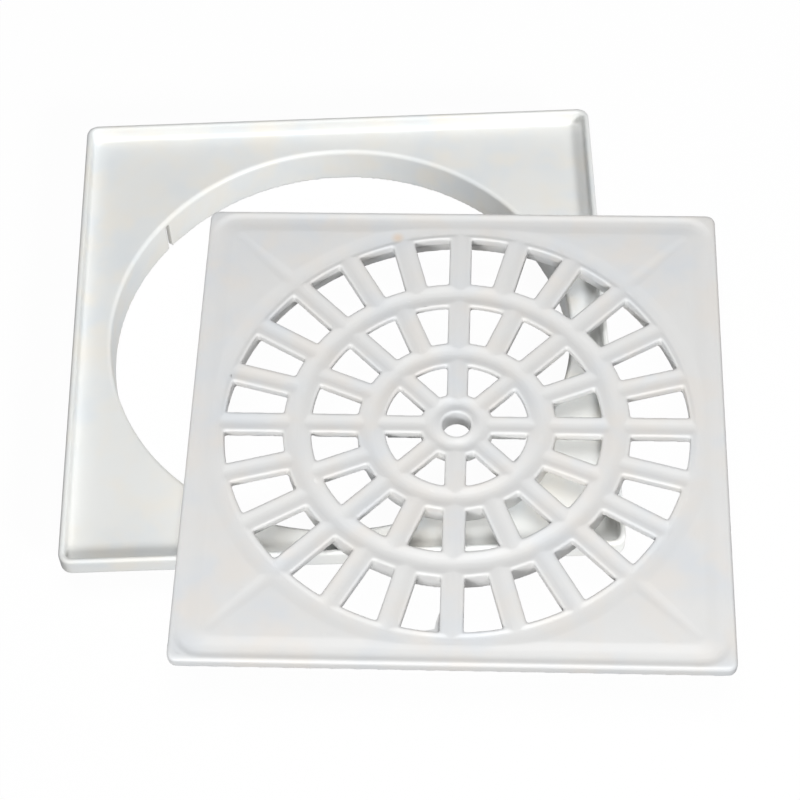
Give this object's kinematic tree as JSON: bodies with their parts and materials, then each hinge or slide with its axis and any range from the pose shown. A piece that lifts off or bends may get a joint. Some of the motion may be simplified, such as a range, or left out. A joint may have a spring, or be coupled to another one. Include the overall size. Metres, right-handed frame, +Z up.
{
  "type": "drain grate",
  "caption": "Square white plastic floor drain: a round-patterned slotted grate lifted out and lying on its square frame, which has a round opening and a short spigot below.",
  "frame": {"origin": "on the axis of the frame's spigot, at its lower end, which stands on the floor", "axes": "+Z up along the spigot's axis, +X along the frame's side to the viewer's right, +Y away from the viewer"},
  "size_m": [0.1886, 0.1972, 0.0238],
  "materials": {
    "frame_plastic": "white moulded plastic, satin",
    "grate_plastic": "white moulded plastic, satin"
  },
  "bodies": {
    "root": {"frame": "frame_plastic", "grate": "grate_plastic"}
  },
  "joints": []
}
